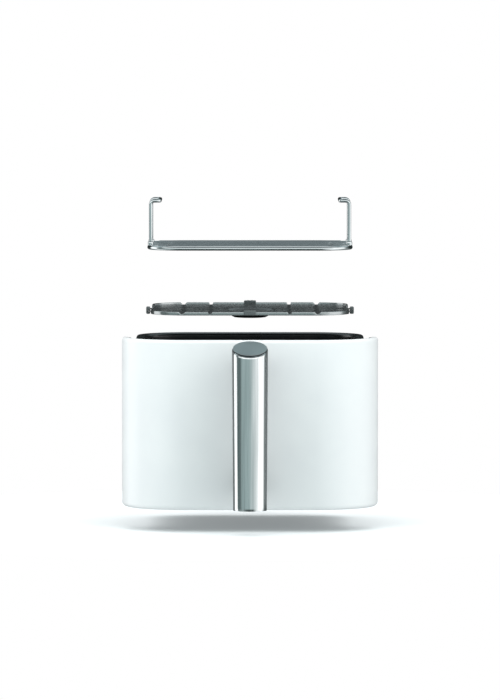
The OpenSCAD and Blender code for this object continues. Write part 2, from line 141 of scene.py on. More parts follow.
def dress(obj, body, slot, material, *nodes):
    """Gives a piece its material and body, and says which nodes it stands for; the slot is not
    used.
    """
    obj.data.materials.clear()
    obj.data.materials.append(material)
    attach(obj, body)
    if nodes:
        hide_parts(*nodes)
    return obj


def loft(rings, close_ring=True, cap_start=False, cap_end=False, close_loop=False):
    """Vertices and faces of a surface through rings of equally many points."""
    count = len(rings[0])
    verts = [p for ring in rings for p in ring]
    faces = []
    last = len(rings) if close_loop else len(rings) - 1
    for i in range(last):
        a, b = i * count, ((i + 1) % len(rings)) * count
        for j in range(count if close_ring else count - 1):
            k = (j + 1) % count
            faces.append((a + j, a + k, b + k, b + j))
    if cap_start:
        faces.append(tuple(range(count)))
    if cap_end:
        faces.append(tuple(range((len(rings) - 1) * count, len(rings) * count)))
    return verts, faces


def fillet(points, radii, steps=6):
    """A closed outline of 2-D points with each corner rounded to its own radius."""
    out = []
    count = len(points)
    for i, (point, radius) in enumerate(zip(points, radii)):
        here = Vector(point)
        before = (Vector(points[i - 1]) - here)
        after = (Vector(points[(i + 1) % count]) - here)
        if radius <= 0:
            out.append(tuple(here))
            continue
        half = before.angle(after) / 2
        reach = radius / math.tan(half)
        start = here + before.normalized() * reach
        end = here + after.normalized() * reach
        centre = here + (before.normalized() + after.normalized()).normalized() * (
            radius / math.sin(half))
        a0 = math.atan2(start.y - centre.y, start.x - centre.x)
        a1 = math.atan2(end.y - centre.y, end.x - centre.x)
        turn = (a1 - a0 + math.pi) % (2 * math.pi) - math.pi
        for k in range(steps + 1):
            a = a0 + turn * k / steps
            out.append((centre.x + radius * math.cos(a), centre.y + radius * math.sin(a)))
    return out


def spread(low, high, steps):
    return [low + (high - low) * k / steps for k in range(steps + 1)]


def full_turn(steps):
    """The angles of one full turn in equal steps."""
    return [2 * math.pi * k / steps for k in range(steps)]


def smooth_step(low, high, value):
    t = min(1.0, max(0.0, (value - low) / (high - low)))
    return t * t * (3 - 2 * t)


# ---- paths in plan ----

def panel_path(corner_steps=40, run_steps=12):
    """The front panel's outer face in plan, with inward normals, from its right end to its left."""
    flat = FRONT_HALF - FRONT_R
    right = [(Vector((FRONT_HALF, y)), Vector((-1, 0)))
             for y in spread(FACE_Y + FRONT_WRAP, FACE_Y + FRONT_R, 2)[:-1]]
    for k in range(corner_steps + 1):
        a = math.pi / 2 * k / corner_steps
        out = Vector((math.cos(a), -math.sin(a)))
        right.append((Vector((flat, FACE_Y + FRONT_R)) + out * FRONT_R, -out))
    middle = [(Vector((x, FACE_Y)), Vector((0, 1))) for x in spread(flat, -flat, run_steps)[1:-1]]
    left = [(Vector((-p.x, p.y)), Vector((-n.x, n.y))) for p, n in reversed(right)]
    return right + middle + left


def sweep_panel(name, outline):
    """Sweeps a closed (inset, height) outline along the front panel's plan."""
    rings = [[(p.x + n.x * inset, p.y + n.y * inset, z) for inset, z in outline]
             for p, n in panel_path()]
    verts, faces = loft(rings, cap_start=True, cap_end=True)
    return add_mesh(name, verts, faces)


def round_rect(half_w, half_d, radius, corner_steps, side_steps, centre_y=0.0):
    """Points round a rectangle with round corners, counter-clockwise from its right side."""
    points = []
    for turn in range(4):
        a = turn * math.pi / 2
        along = half_d - radius if turn % 2 == 0 else half_w - radius
        out = half_w if turn % 2 == 0 else half_d
        spin = Matrix.Rotation(a, 2)
        for t in spread(-along, along, side_steps)[:-1]:
            points.append(spin @ Vector((out, t)))
        for k in range(corner_steps):
            c = math.pi / 2 * k / corner_steps
            points.append(spin @ Vector((out - radius + radius * math.cos(c),
                                         along + radius * math.sin(c))))
    return [(p.x, p.y + centre_y) for p in points]


END_SHARE = 0.86        # a wire's end face, as a share of its radius
CORNERS = [(sx, sy) for sx in (-1, 1) for sy in (-1, 1)]


def tube(path, radius, sides=20, closed=False):
    """Rings of a round wire along a path, turned without twist; open ends are rounded off."""
    points = [Vector(p) for p in path]
    count = len(points)

    def tangent(i):
        if closed:
            return (points[(i + 1) % count] - points[i - 1]).normalized()
        return (points[min(i + 1, count - 1)] - points[max(i - 1, 0)]).normalized()

    up = tangent(0).orthogonal().normalized()
    rings = []
    for i in range(count):
        t = tangent(i)
        up = (up - t * up.dot(t)).normalized()
        side = t.cross(up)
        rings.append([points[i] + (up * math.cos(a) + side * math.sin(a)) * radius
                      for a in full_turn(sides)])
    if closed:
        return loft(rings, close_loop=True)
    edge = 0.15 * radius
    first, last = points[0], points[-1]
    start = [first + (p - first) * END_SHARE for p in rings[0]]
    finish = [last + (p - last) * END_SHARE for p in rings[-1]]
    t0, t1 = tangent(0), tangent(count - 1)
    rings[0] = [p + t0 * edge for p in rings[0]]
    rings[-1] = [p - t1 * edge for p in rings[-1]]
    return loft([start] + rings + [finish], cap_start=True, cap_end=True)


def joined(parts):
    """Several (vertices, faces) pairs as one pair."""
    verts, faces = [], []
    for some_verts, some_faces in parts:
        base = len(verts)
        verts += list(some_verts)
        faces += [tuple(i + base for i in f) for f in some_faces]
    return verts, faces


def lathe(outline, centre, steps=64):
    """A closed (radius, height) outline turned about a vertical axis."""
    rings = [[(centre[0] + r * math.cos(a), centre[1] + r * math.sin(a), z) for r, z in outline]
             for a in full_turn(steps)]
    return loft(rings, close_loop=True)


# ---- materials ----

def node_material(name, base, roughness, metallic=0.0, coat=0.0, coat_roughness=0.1, specular=0.5):
    """A Principled material with its constant values set on the shader's own sockets."""
    material = bpy.data.materials.new(name)
    material.use_nodes = True
    shader = material.node_tree.nodes["Principled BSDF"]
    shader.inputs["Base Color"].default_value = (*base, 1)
    shader.inputs["Roughness"].default_value = roughness
    shader.inputs["Metallic"].default_value = metallic
    shader.inputs["Coat Weight"].default_value = coat
    shader.inputs["Coat Roughness"].default_value = coat_roughness
    shader.inputs["Specular IOR Level"].default_value = specular
    return material, shader


def noise(material, scale, detail=4.0, stretch=(1, 1, 1)):
    """A noise texture in object space, which is the row frame, in cycles per metre."""
    nodes, links = material.node_tree.nodes, material.node_tree.links
    coords = nodes.new("ShaderNodeTexCoord")
    mapping = nodes.new("ShaderNodeMapping")
    mapping.inputs["Scale"].default_value = stretch
    texture = nodes.new("ShaderNodeTexNoise")
    texture.inputs["Scale"].default_value = scale
    texture.inputs["Detail"].default_value = detail
    links.new(coords.outputs["Object"], mapping.inputs["Vector"])
    links.new(mapping.outputs["Vector"], texture.inputs["Vector"])
    return texture


def vary_roughness(material, shader, texture, low, high):
    nodes, links = material.node_tree.nodes, material.node_tree.links
    ramp = nodes.new("ShaderNodeMapRange")
    ramp.inputs["From Min"].default_value = 0.3
    ramp.inputs["From Max"].default_value = 0.7
    ramp.inputs["To Min"].default_value = low
    ramp.inputs["To Max"].default_value = high
    links.new(texture.outputs["Fac"], ramp.inputs["Value"])
    links.new(ramp.outputs["Result"], shader.inputs["Roughness"])


def vary_colour(material, shader, texture, dark, light):
    nodes, links = material.node_tree.nodes, material.node_tree.links
    ramp = nodes.new("ShaderNodeValToRGB")
    ramp.color_ramp.elements[0].position = 0.35
    ramp.color_ramp.elements[0].color = (*dark, 1)
    ramp.color_ramp.elements[1].position = 0.65
    ramp.color_ramp.elements[1].color = (*light, 1)
    links.new(texture.outputs["Fac"], ramp.inputs["Fac"])
    links.new(ramp.outputs["Color"], shader.inputs["Base Color"])


def add_bump(material, shader, texture, strength, distance):
    nodes, links = material.node_tree.nodes, material.node_tree.links
    bump = nodes.new("ShaderNodeBump")
    bump.inputs["Strength"].default_value = strength
    bump.inputs["Distance"].default_value = distance
    links.new(texture.outputs["Fac"], bump.inputs["Height"])
    links.new(bump.outputs["Normal"], shader.inputs["Normal"])


def moulded(name, dark, light, rough, grain, coat=0.0):
    """Moulded plastic: slight tone drift, uneven gloss and a fine grain."""
    material, shader = node_material(name, light, rough, coat=coat, coat_roughness=0.18)
    vary_colour(material, shader, noise(material, 22), dark, light)
    vary_roughness(material, shader, noise(material, 60), rough - 0.05, rough + 0.05)
    add_bump(material, shader, noise(material, grain, 6), 0.12, 0.00008)
    return material


def metal(name, dark, light, low, high, stretch=(1, 1, 1), scale=900, bump=0.05, drift=18):
    """Metal whose gloss and tone follow a grain, stretched where it is brushed."""
    material, shader = node_material(name, light, low, metallic=1.0)
    grain = noise(material, scale, 5, stretch)
    vary_colour(material, shader, noise(material, drift, 4, stretch), dark, light)
    vary_roughness(material, shader, grain, low, high)
    add_bump(material, shader, grain, bump, 0.00003)
    return material


def coated(name, dark, light, low, high, coat, speckle, metallic=0.0, bump=0.15):
    """Non-stick coating: fine metallic speckle under a clear gloss."""
    material, shader = node_material(name, light, low, metallic=metallic, coat=coat,
                                     coat_roughness=0.08)
    fine = noise(material, speckle, 8)
    vary_colour(material, shader, fine, dark, light)
    vary_roughness(material, shader, noise(material, 45), low, high)
    add_bump(material, shader, fine, bump, 0.00005)
    return material


WHITE = moulded("white_plastic", (0.86, 0.875, 0.885), (0.885, 0.9, 0.905), 0.42, 2600, coat=0.15)
GREY_TRIM = moulded("grey_trim_plastic", (0.10, 0.105, 0.11), (0.13, 0.135, 0.14), 0.42, 2200)
INNER = moulded("inner_cover_plastic", (0.045, 0.047, 0.05), (0.06, 0.062, 0.066), 0.5, 1500)
BLACK = moulded("black_plastic", (0.018, 0.018, 0.02), (0.028, 0.028, 0.03), 0.42, 1800)
BODY = moulded("handle_plastic", (0.05, 0.058, 0.06), (0.07, 0.08, 0.083), 0.38, 1800)
STEEL = metal("polished_steel", (0.56, 0.59, 0.595), (0.85, 0.86, 0.865), 0.06, 0.15,
              stretch=(1, 1, 0.02), scale=1400, drift=240)
CAP = metal("cap_satin", (0.44, 0.50, 0.51), (0.50, 0.565, 0.575), 0.3, 0.38, scale=1200)
CHROME = metal("chrome_wire", (0.62, 0.65, 0.66), (0.72, 0.75, 0.76), 0.09, 0.13, scale=420,
               bump=0.008)
SHEET_STEEL = metal("plated_sheet", (0.48, 0.49, 0.5), (0.58, 0.59, 0.6), 0.26, 0.4,
                    stretch=(0.05, 1, 1), scale=900)
FASTENER = metal("plated_fastener", (0.5, 0.5, 0.5), (0.62, 0.62, 0.62), 0.22, 0.36, scale=700)
PAN = coated("basket_coating", (0.003, 0.003, 0.0035), (0.009, 0.009, 0.01), 0.2, 0.3, 0.35, 3200)
# The deck and dish take a darker copy of the plate's one coating: dark non-stick, darkened further
# as painted shade. The lip takes a lighter, more metallic copy of the same coating, which is a
# painted highlight.
SHADED_PLATE_COATING = coated("plate_coating", (0.035, 0.038, 0.04), (0.075, 0.08, 0.082), 0.22, 0.32, 0.35, 2400,
               metallic=0.3)
LIT_LIP_COATING = coated("plate_lip_painted_highlight", (0.34, 0.36, 0.365), (0.5, 0.525, 0.53), 0.14, 0.22, 0.3, 2400,
             metallic=0.9, bump=0.04)
SILICONE = moulded("grey_silicone", (0.075, 0.088, 0.09), (0.11, 0.125, 0.127), 0.36, 1400)


# ---- camera, floor and light ----

def make_camera():
    """A long lens, a little above the drawer, as a catalogue picture is taken."""
    data = bpy.data.cameras.new("camera")
    camera = bpy.data.objects.new("camera", data)
    bpy.context.scene.collection.objects.link(camera)
    bpy.context.scene.camera = camera
    aim = Vector((0, FACE_Y, AIM_Z))
    camera.location = (0, FACE_Y - CAMERA_DISTANCE, CAMERA_Z)
    camera.rotation_euler = (aim - camera.location).to_track_quat("-Z", "Y").to_euler()
    data.sensor_width = SENSOR_WIDTH
    data.lens = LENS
    data.clip_end = VIEW_END


def make_floor():
    """A pale disc a little below the drawer, which hovers over its own soft shadow."""
    rings = [[(r * math.cos(a), BASKET_Y + r * math.sin(a), -FLOOR_DROP)
              for a in full_turn(FLOOR_SIDES)]
             for r in spread(FLOOR_RADIUS, FLOOR_MIDDLE, FLOOR_RINGS)]
    floor = add_mesh("floor", *loft(rings, cap_end=True))
    material, shader = node_material("floor_paper", FLOOR_BASE, 0.9, specular=0.0)
    vary_colour(material, shader, noise(material, 3), FLOOR_TONE, [c * 1.005 for c in FLOOR_TONE])
    shader.inputs["Emission Color"].default_value = (*FLOOR_GLOW, 1)
    shader.inputs["Emission Strength"].default_value = 1.0
    floor.data.materials.append(material)
    floor.visible_glossy = False
    floor.visible_diffuse = False


def make_top_light():
    """A small soft light above the handle that lifts the panel's upper edge; nothing mirrors it."""
    data = bpy.data.lights.new("top_light", "AREA")
    data.shape = "RECTANGLE"
    data.size, data.size_y = TOP_LIGHT_SIZE
    data.energy = TOP_LIGHT_WATTS
    light = bpy.data.objects.new("top_light", data)
    bpy.context.scene.collection.objects.link(light)
    light.location = (0, FACE_Y - TOP_LIGHT_OUT, shell_high.z + TOP_LIGHT_UP)
    down = Vector((0, FACE_Y, shell_high.z - TOP_LIGHT_AIM)) - light.location
    light.rotation_euler = down.to_track_quat("-Z", "Y").to_euler()
    light.visible_camera = False
    light.visible_glossy = False


def world_math(tree, operation, a, b=None):
    node = tree.nodes.new("ShaderNodeMath")
    node.operation = operation
    for socket, value in zip(node.inputs, (a, b)):
        if isinstance(value, (int, float)):
            socket.default_value = value
        elif value is not None:
            tree.links.new(value, socket)
    return node.outputs[0]


def world_mix(tree, share, first, second):
    """Mixes two colours, each a socket or a plain triple."""
    node = tree.nodes.new("ShaderNodeMix")
    node.data_type = "RGBA"
    node.clamp_result = False
    tree.links.new(share, node.inputs[0])
    for socket, value in zip((node.inputs[6], node.inputs[7]), (first, second)):
        if isinstance(value, tuple):
            socket.default_value = (*value, 1)
        else:
            tree.links.new(value, socket)
    return node.outputs[2]


def world_share(tree, value, low, high):
    """Rises smoothly from 0 to 1 as the value goes from low to high."""
    node = tree.nodes.new("ShaderNodeMapRange")
    node.interpolation_type = "SMOOTHSTEP"
    node.inputs["From Min"].default_value = low
    node.inputs["From Max"].default_value = high
    tree.links.new(value, node.inputs["Value"])
    return node.outputs[0]


def studio(tree, around, stops):
    """Light by direction round the horizon, from stops of degrees with red and green-blue."""
    ramp = tree.nodes.new("ShaderNodeValToRGB")
    tree.links.new(around, ramp.inputs["Fac"])
    elements = ramp.color_ramp.elements
    for i, (angle, red, green_blue) in enumerate(stops):
        place = angle / 360 + 0.5
        element = elements[i] if i < 2 else elements.new(place)
        element.position = place
        element.color = (red / PEAK, green_blue / PEAK, green_blue / PEAK, 1)
    scale = tree.nodes.new("ShaderNodeVectorMath")
    scale.operation = "SCALE"
    scale.inputs["Scale"].default_value = PEAK
    tree.links.new(ramp.outputs["Color"], scale.inputs[0])
    return scale.outputs[0]


def softbox(tree, under, tone, height, low, high, facing):
    """Lays a soft-edged band of light between two heights over what is there, on one side."""
    edge = 0.12
    rise = world_share(tree, height, low - edge, low)
    fall = world_share(tree, height, high + edge, high)
    side = world_share(tree, facing, 0.05, 0.3)
    share = world_math(tree, "MULTIPLY", world_math(tree, "MULTIPLY", rise, fall), side)
    return world_mix(tree, share, under, tone)


def make_world():
    """What lights the drawer and what it mirrors, by direction; the camera sees plain white."""
    world = bpy.data.worlds.new("studio")
    bpy.context.scene.world = world
    world.use_nodes = True
    tree = world.node_tree
    coords = tree.nodes.new("ShaderNodeTexCoord")
    split = tree.nodes.new("ShaderNodeSeparateXYZ")
    tree.links.new(coords.outputs["Generated"], split.inputs[0])
    x, y, z = split.outputs
    front = world_math(tree, "MULTIPLY", y, -1.0)
    azimuth = world_math(tree, "ARCTAN2", x, front)
    around = world_math(tree, "ADD", world_math(tree, "DIVIDE", azimuth, 2 * math.pi), 0.5)
    light = studio(tree, around, LIGHT_STOPS)
    light = world_mix(tree, world_share(tree, z, 0.35, 0.85), light, LIGHT_ABOVE)
    light = world_mix(tree, world_share(tree, z, -0.05, -0.4), light, LIGHT_BELOW)
    mirrored = studio(tree, around, MIRROR_STOPS)
    mirrored = world_mix(tree, world_share(tree, z, 0.35, 0.7), mirrored, MIRROR_ABOVE)
    mirrored = softbox(tree, mirrored, FRONT_SOFTBOX, z, 0.3, 0.62, front)
    mirrored = softbox(tree, mirrored, REAR_SOFTBOX, z, 0.5, 0.8, y)
    under = studio(tree, around, MIRROR_BELOW_STOPS)
    mirrored = world_mix(tree, world_share(tree, z, -0.2, -0.4), mirrored, under)
    path = tree.nodes.new("ShaderNodeLightPath")
    seen = world_mix(tree, path.outputs["Is Glossy Ray"], light, mirrored)
    seen = world_mix(tree, path.outputs["Is Camera Ray"], seen, (1.0, 1.0, 1.0))
    tree.links.new(seen, tree.nodes["Background"].inputs["Color"])


make_camera()
make_floor()
make_top_light()
make_world()
bpy.context.scene.view_settings.view_transform = "Standard"


# ---- front panel ----

def make_front_shell():
    low, high = shell_low.z, shell_high.z
    wall, lip = 2.5 * MM, 6 * MM
    outline = fillet(
        [(0, low), (0, high), (lip, high), (lip, high - wall), (wall, high - wall),
         (wall, low + wall), (lip, low + wall), (lip, low)],
        [5 * MM, 3.8 * MM, 0.5 * MM, 0.5 * MM, 0.8 * MM, 0.8 * MM, 0.5 * MM, 0.5 * MM], 8)
    shell = sweep_panel("front_shell_skin", outline)
    dress(shell, "drawer", "white_shell", WHITE, "front_shell")


def make_top_trim():
    near, far = 6.2 * MM, 10 * MM
    outline = fillet(
        [(near, trim_low.z), (near, trim_high.z), (far, trim_high.z), (far, trim_low.z)],
        [0.3 * MM, 0.5 * MM, 0.9 * MM, 0.3 * MM], 4)
    trim = sweep_panel("top_trim_strip", outline)
    dress(trim, "drawer", "grey_trim", GREY_TRIM, "front_top_trim")


make_front_shell()
make_top_trim()


# ---- handle ----

HANDLE_BACK = cap_high.y
HANDLE_DEPTH = cap_high.y - cap_low.y
HANDLE_Y = (cap_high.y + cap_low.y) / 2
SLOPE = math.tan(math.radians(19))
TOP_HALF_W = cap_high.x
FOOT_HALF_W = 18.2 * MM
FOOT_SHRINK = 1.2 * MM
COLUMN_FOOT = foot_low.z + 0.5 * MM
COLUMN_SIDES = 96
COVER_SHEET = 1.2 * MM
COVER_DROP = 1.9 * MM
BODY_DROP, BODY_STEP = 2.2 * MM, 0.35 * MM
NECK_INSET = 2.6 * MM
ROLL, ROLL_IN = 2.8 * MM, 1.9 * MM
COVER_ANGLE = math.acos(1 - (metal_high.y - metal_low.y) / (HANDLE_DEPTH / 2))
LOW_POST_UP, HIGH_POST_DOWN = 29 * MM, 27 * MM
POST_ZS = (foot_low.z + LOW_POST_UP, cap_high.z - HIGH_POST_DOWN)
POST_HALF_W, POST_HALF_H, POST_CORNER = 8 * MM, 11 * MM, 5 * MM
POST_ROOT, POST_FLARE = 6 * MM, 2 * MM


def column_taper(z):
    """0 at the column's top and 1 at its foot."""
    return (cap_high.z - z) / (cap_high.z - foot_low.z)


def column_point(angle, z, inset):
    """A point on the column's oval section; angle 0 faces the front."""
    half_w = TOP_HALF_W + (FOOT_HALF_W - TOP_HALF_W) * column_taper(z) - inset
    half_d = HANDLE_DEPTH / 2 - FOOT_SHRINK * column_taper(z) - inset
    return half_w * math.sin(angle), HANDLE_Y - half_d * math.cos(angle)


def slope_z(y, drop):
    """Height of the column's sloping top at a depth, lowered by drop."""
    return cap_high.z - (cap_high.y - y) * SLOPE - drop


def column_surface(angles, rows, foot, drop):
    """Rings of the column between its foot and its slope.

    A row is a share of the height, a rise above it and an inset.
    """
    rings = []
    for share, rise, inset in rows:
        ring = []
        for a in angles:
            x, y = column_point(a, cap_high.z, inset)
            z = foot + (slope_z(y, drop) - foot) * share + rise
            x, y = column_point(a, z, inset)
            ring.append((x, y, z))
        rings.append(ring)
    return rings


def make_handle_cover():
    """The polished cover over the column's front, with a rim that rolls in under the cap."""
    angles = spread(-COVER_ANGLE, COVER_ANGLE, 64)
    wall = COVER_SHEET
    rows = [(0, 0.8 * MM, wall), (0, 0.1 * MM, 0.8 * wall), (0, 0, 0.5 * wall),
            (0, 0.1 * MM, 0.12 * wall), (0, 0.4 * MM, 0)]
    rows += [(k / 40, 0, 0) for k in range(1, 40)]
    rows += [(1, ROLL * (math.sin(a) - 1), ROLL_IN * (1 - math.cos(a)))
             for a in spread(0, math.pi / 2, 9)]
    rows += [(1, -0.5 * MM, ROLL_IN + 0.1 * MM), (1, -1.3 * MM, ROLL_IN - 0.1 * MM),
             (1, -2.4 * MM, wall)]
    rows += [(k / 8, 0, wall) for k in range(7, 0, -1)]
    rings = column_surface(angles, rows, COLUMN_FOOT, COVER_DROP)
    verts, faces = loft(rings, close_ring=False, close_loop=True)
    count = len(angles)
    faces.append(tuple(i * count for i in range(len(rings))))
    faces.append(tuple(i * count + count - 1 for i in range(len(rings))))
    cover = add_mesh("handle_polished_cover", verts, faces, sharp=40)
    dress(cover, "drawer", "polished_steel", STEEL, "handle_cover")


def body_rings():
    """The column's body: flush with the cover where it shows, and set back where the cover lies."""
    angles = [a - math.pi / 2 for a in full_turn(2 * COLUMN_SIDES)]
    foot = COLUMN_FOOT
    rings = []
    rows = [(0, 0.3 * MM, 0.8 * MM), (0, 0, 0.4 * MM), (0, 0.3 * MM, 0.05 * MM), (0, 0.9 * MM, 0)]
    rows += [(k / 24, 0, 0) for k in range(1, 24)]
    rows += [(1, -1.2 * MM, 0), (1, -0.5 * MM, 0.15 * MM), (1, -0.15 * MM, 0.5 * MM),
             (1, 0, 1.1 * MM), (1, 0, 1.6 * MM)]
    for share, rise, inset in rows:
        ring = []
        for a in angles:
            off = abs((a + math.pi) % (2 * math.pi) - math.pi)
            under = 1 - smooth_step(COVER_ANGLE - 0.01, COVER_ANGLE + 0.012, off)
            deep = inset + (max(0.0, COVER_SHEET - inset) + BODY_STEP) * under
            x, y = column_point(a, cap_high.z, deep)
            z = foot + (slope_z(y, COVER_DROP + BODY_DROP * under) - foot) * share + rise
            x, y = column_point(a, z, deep)
            ring.append((x, y, z))
        rings.append(ring)
    return rings


def make_post(z):
    """A post that flares where it meets the panel and the column."""
    rings = []
    root = HANDLE_BACK - POST_ROOT
    for t in spread(0, 1, 20):
        flare = POST_FLARE * (2 * t - 1) ** 6
        y = root + (FACE_Y - root) * t
        section = round_rect(POST_HALF_W + flare, POST_HALF_H + flare, POST_CORNER, 6, 3)
        rings.append([(px, y, z + pz) for px, pz in section])
    return loft(rings, cap_start=True, cap_end=True)


def make_handle_core():
    """The column's body, the neck under the cap, and the two posts to the panel."""
    body = loft(body_rings(), cap_start=True, cap_end=True)
    neck_rows = [(1, rise, NECK_INSET) for rise in (-5 * MM, 0, COVER_DROP - 0.6 * MM)]
    neck_rings = column_surface(full_turn(COLUMN_SIDES), neck_rows, foot_low.z, COVER_DROP)
    core = add_mesh("handle_body", *body, sharp=40)
    dress(core, "drawer", "black_plastic", BODY, "handle_core")
    # The neck is part of the same core moulding as the body but takes the darker black plastic:
    # painted shade in the gap under the cap.
    neck = add_mesh("handle_neck_painted_shade", *loft(neck_rings, cap_start=True, cap_end=True), sharp=40)
    dress(neck, "drawer", "black_plastic", BLACK)
    posts = add_mesh("handle_posts", *joined([make_post(z) for z in POST_ZS]), sharp=40)
    dress(posts, "drawer", "black_plastic", BODY)


def make_cap():
    """The sloping cap: a satin disc on a set-back neck that leaves a dark gap round it."""
    levels = [(0.8 * MM, 1.5 * MM), (0.7 * MM, 1.15 * MM), (0.5 * MM, 1 * MM),
              (0.3 * MM, 1.05 * MM), (0.12 * MM, 1.3 * MM), (0.05 * MM, 1.8 * MM),
              (0.02 * MM, 4 * MM), (0, 11 * MM)]
    rings = []
    for drop, inset in levels:
        plan = [column_point(a, cap_high.z, inset) for a in full_turn(COLUMN_SIDES)]
        rings.append([(x, y, slope_z(y, drop)) for x, y in plan])
    verts, faces = loft(rings, cap_start=True, cap_end=True)
    cap = add_mesh("handle_top_cap", verts, faces, sharp=50)
    dress(cap, "drawer", "cap_metal", CAP, "handle_cap")


def make_foot_cap():
    """The foot cap: pushed into the column, with only its crowned underside showing."""
    low, high = foot_low.z, foot_high.z
    levels = [(low, 12 * MM), (low + 0.05 * MM, 8 * MM), (low + 0.25 * MM, 4 * MM),
              (low + 0.6 * MM, 2 * MM), (low + 1 * MM, 1.5 * MM), (high, 1.4 * MM)]
    rings = [[(*column_point(a, z, inset), z) for a in full_turn(COLUMN_SIDES)]
             for z, inset in levels]
    verts, faces = loft(rings, cap_start=True, cap_end=True)
    foot = add_mesh("handle_foot", verts, faces, sharp=50)
    dress(foot, "drawer", "black_plastic", BLACK, "handle_foot_cap")


make_handle_cover()
make_handle_core()
make_cap()
make_foot_cap()


# ---- basket ----

RIM_TOP = pan_high.z
RIM_HALF_W, RIM_HALF_D = pan_high.x, (pan_high.y - pan_low.y) / 2
RIM_R = 58 * MM
FLANGE = 8.3 * MM
WALL_IN = FLANGE + SHEET
DRAFT = 1.6 * MM
LEDGE_TOP = 84.9 * MM
LEDGE_H = 14 * MM
LEDGE_DEPTH = 6.9 * MM
LEDGE_LEN = 26 * MM
LEDGE_Y = 50 * MM


def arc(centre, radius, start, end, steps):
    """Points of an arc, in degrees, in the (inset, height) plane."""
    return [(centre[0] + radius * math.cos(a), centre[1] + radius * math.sin(a))
            for a in (math.radians(d) for d in spread(start, end, steps))]


def pan_profile():
    """The basket's sheet in (inset, height), from inner floor over the rim to outer floor."""
    floor_r, bead = 11 * MM, 2.5 * MM
    foot_in = WALL_IN + DRAFT
    inner = [(foot_in + r, SHEET) for r in (27 * MM, 20 * MM, 15 * MM)]
    inner += arc((foot_in + floor_r, SHEET + floor_r), floor_r, 270, 180, 10)

    def wall(inset, z):
        return inset + DRAFT * (1 - (z - floor_r) / (RIM_TOP - floor_r))

    dense_low, dense_high = 66 * MM, 90 * MM    # rows lie closer here, for the ledges
    rows = spread(SHEET + floor_r, dense_low, 14)[1:] + spread(dense_low, dense_high, 24)[1:]
    rows += spread(dense_high, RIM_TOP - 4 * MM, 18)[1:]
    inner += [(wall(WALL_IN, z), z) for z in rows]
    lip_r = 2.4 * MM
    bend_centre = (WALL_IN - lip_r, RIM_TOP - 3.4 * MM)
    bend = arc(bend_centre, lip_r, 0, 90, 6)
    bead_centre = (bead, RIM_TOP - bead)
    roll = arc(bead_centre, bead, 62, 330, 22)
    under = [(bend_centre[0] - 0.5 * MM, bend_centre[1] + lip_r - SHEET)]
    outer_bend = arc(bend_centre, lip_r - SHEET, 80, 0, 4)
    outer = [(wall(FLANGE, z), z) for z in reversed(rows)]
    outer_r = floor_r + SHEET
    outer_foot = arc((foot_in - SHEET + outer_r, outer_r), outer_r, 180, 270, 10)
    outer_floor = [(foot_in + r, 0.0) for r in (15 * MM, 20 * MM, 27 * MM)]
    return inner + bend + roll + under + outer_bend + outer + outer_foot + outer_floor


def press_ledge(x, y, z, inner):
    """Moves a side wall's point in where a ledge is pressed into it."""
    along = abs(abs(y - BASKET_Y) - LEDGE_Y)
    across = 1 - smooth_step(LEDGE_LEN / 2 - 3 * MM, LEDGE_LEN / 2 + 0.5 * MM, along)
    shelf = 1 - smooth_step(LEDGE_TOP - 1.4 * MM, LEDGE_TOP, z)
    foot = smooth_step(LEDGE_TOP - LEDGE_H, LEDGE_TOP - 2.5 * MM, z)
    share = across * shelf * foot
    if share <= 0 or abs(x) < RIM_HALF_W * 0.8:
        return x
    target = RIM_HALF_W - WALL_IN - LEDGE_DEPTH + (0 if inner else SHEET)
    return math.copysign(abs(x) + (target - abs(x)) * share, x)


def make_pan():
    profile = pan_profile()
    turn = next(i for i, (_, z) in enumerate(profile) if z > RIM_TOP - 1 * MM)
    rings = []
    for i, (inset, z) in enumerate(profile):
        ring = round_rect(RIM_HALF_W - inset, RIM_HALF_D - inset, RIM_R - inset, 22, 90,
                          BASKET_Y)
        rings.append([(press_ledge(x, y, z, i < turn), y, z) for x, y in ring])
    verts, faces = loft(rings, cap_start=True, cap_end=True)
    pan = add_mesh("basket_pressed_pan", verts, faces, sharp=50)
    dress(pan, "drawer", "basket_coating", PAN, "basket_pan")


def make_floor_bosses():
    """The four bosses on the basket's floor that carry the crisper plate."""
    height, base, top, soft = 14 * MM, 12 * MM, 9 * MM, 2 * MM
    boss_x, boss_y = 74.5 * MM, 71.5 * MM
    outline = [(0.0005, SHEET + height), (top - soft, SHEET + height)]
    outline += arc((top - soft, SHEET + height - soft), soft, 90, 15, 5)
    outline += [(base, SHEET + 1.2 * MM), (base + 0.8 * MM, SHEET + 0.3 * MM),
                (base + 2 * MM, SHEET - 0.3 * MM), (0.0005, SHEET - 0.3 * MM)]
    parts = [lathe(outline, (sx * boss_x, BASKET_Y + sy * boss_y), 40) for sx, sy in CORNERS]
    bosses = add_mesh("basket_floor_bosses", *joined(parts), sharp=50)
    dress(bosses, "drawer", "basket_coating", PAN)


make_pan()
make_floor_bosses()


# ---- crisper plate ----

PLATE_T = 1.5 * MM
CLIP_BELOW = 3.5 * MM
PLATE_Z = side_clip_low.z + CLIP_BELOW
PLATE_HALF_W, PLATE_HALF_D, PLATE_R = 108.5 * MM, 105.5 * MM, 40.5 * MM
EAR_OUT, EAR_STRIP, EAR_HALF = 4.7 * MM, 2.2 * MM, 28 * MM
SLOT_W = 4.5 * MM
HOLE_R, HOLE_PITCH = 3 * MM, 16 * MM
DISH_R, DISH_H, DISH_FLOOR_R = 29 * MM, 7.4 * MM, 16 * MM
DRAIN_R, DRAIN_PLACE, DRAIN_STEP = 2.5 * MM, 0.6, 60
NOTCH_PLACES = (0.2, 0.34)


def ring_points(x, y, radius, steps):
    return [(x + radius * math.cos(a), y + radius * math.sin(a)) for a in full_turn(steps)]


